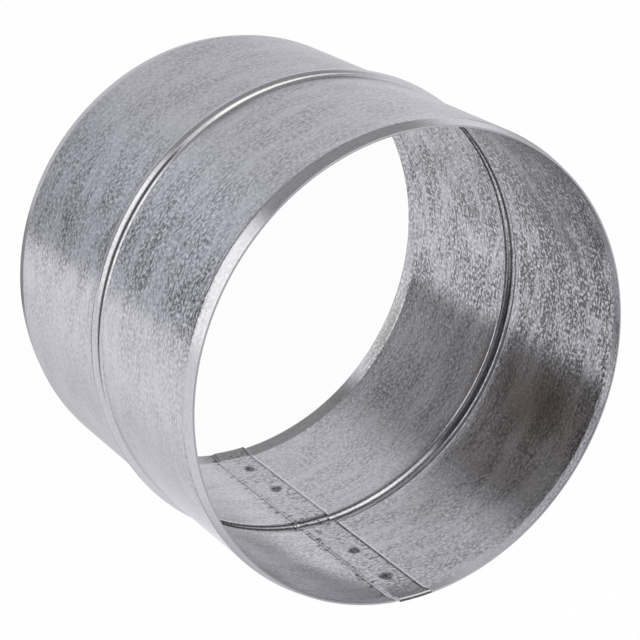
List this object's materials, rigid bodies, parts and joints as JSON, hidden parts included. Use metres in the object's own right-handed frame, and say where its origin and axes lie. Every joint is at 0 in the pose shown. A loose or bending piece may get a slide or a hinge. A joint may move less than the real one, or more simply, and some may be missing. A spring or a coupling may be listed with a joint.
{
  "type": "duct connector",
  "caption": "Short round sheet-metal sleeve that joins two air ducts: a rolled tube with a stop bead at mid length, turned-in edges and a spot-welded lap seam.",
  "frame": {"origin": "middle of the lower rim, on the tube's axis", "axes": "+Z along the tube from the lower rim to the upper rim; the lap seam runs up the +Y side"},
  "size_m": [0.1266, 0.1268, 0.1],
  "materials": {
    "zinc_coated_sheet": "hot-dip zinc coat, satin with fine streaks"
  },
  "bodies": {
    "root": {"duct_connector": "zinc_coated_sheet"}
  },
  "joints": []
}
